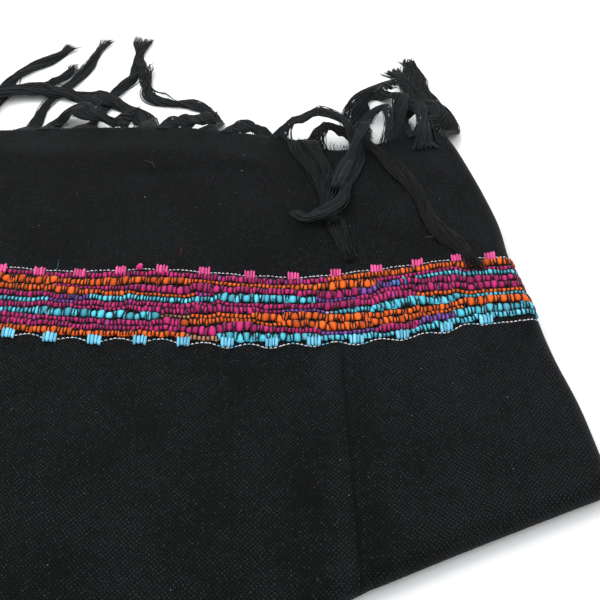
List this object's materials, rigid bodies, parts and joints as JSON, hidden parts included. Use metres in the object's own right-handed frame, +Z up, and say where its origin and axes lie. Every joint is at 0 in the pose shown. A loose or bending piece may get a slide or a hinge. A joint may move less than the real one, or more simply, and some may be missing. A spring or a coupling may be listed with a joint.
{
  "type": "folded rebozo shawl",
  "caption": "Dark woven shawl folded flat into a pack, with a bright slub-weave band and a loose tasselled fringe along one edge.",
  "frame": {"origin": "centre of the flat underside of the folded pack, on the surface that it lies on", "axes": "+Z up, out of the top layer; +Y towards the fringed edge; +X towards the lengthwise fold"},
  "size_m": [0.3112, 0.4187, 0.0199],
  "materials": {
    "charcoal_weave": "matt plain weave",
    "slub_weave": "space-dyed slub yarns: magenta, orange, turquoise, violet",
    "fringe_yarn": "loose fine yarn"
  },
  "bodies": {
    "root": {"fringe_end_stretch": "charcoal_weave", "slub_band": "slub_weave", "body_stretch": "charcoal_weave", "folded_layers": "charcoal_weave", "tassel_01": "fringe_yarn", "tassel_02": "fringe_yarn", "tassel_03": "fringe_yarn", "tassel_04": "fringe_yarn", "tassel_05": "fringe_yarn", "tassel_06": "fringe_yarn", "tassel_07": "fringe_yarn", "tassel_08": "fringe_yarn", "tassel_09": "fringe_yarn", "tassel_10": "fringe_yarn", "tassel_11": "fringe_yarn", "tassel_12": "fringe_yarn", "tassel_13": "fringe_yarn", "tassel_14": "fringe_yarn", "tassel_15": "fringe_yarn", "tassel_16": "fringe_yarn", "tassel_17": "fringe_yarn", "tassel_18": "fringe_yarn", "tassel_19": "fringe_yarn", "tassel_20": "fringe_yarn", "tassel_21": "fringe_yarn"}
  },
  "joints": []
}
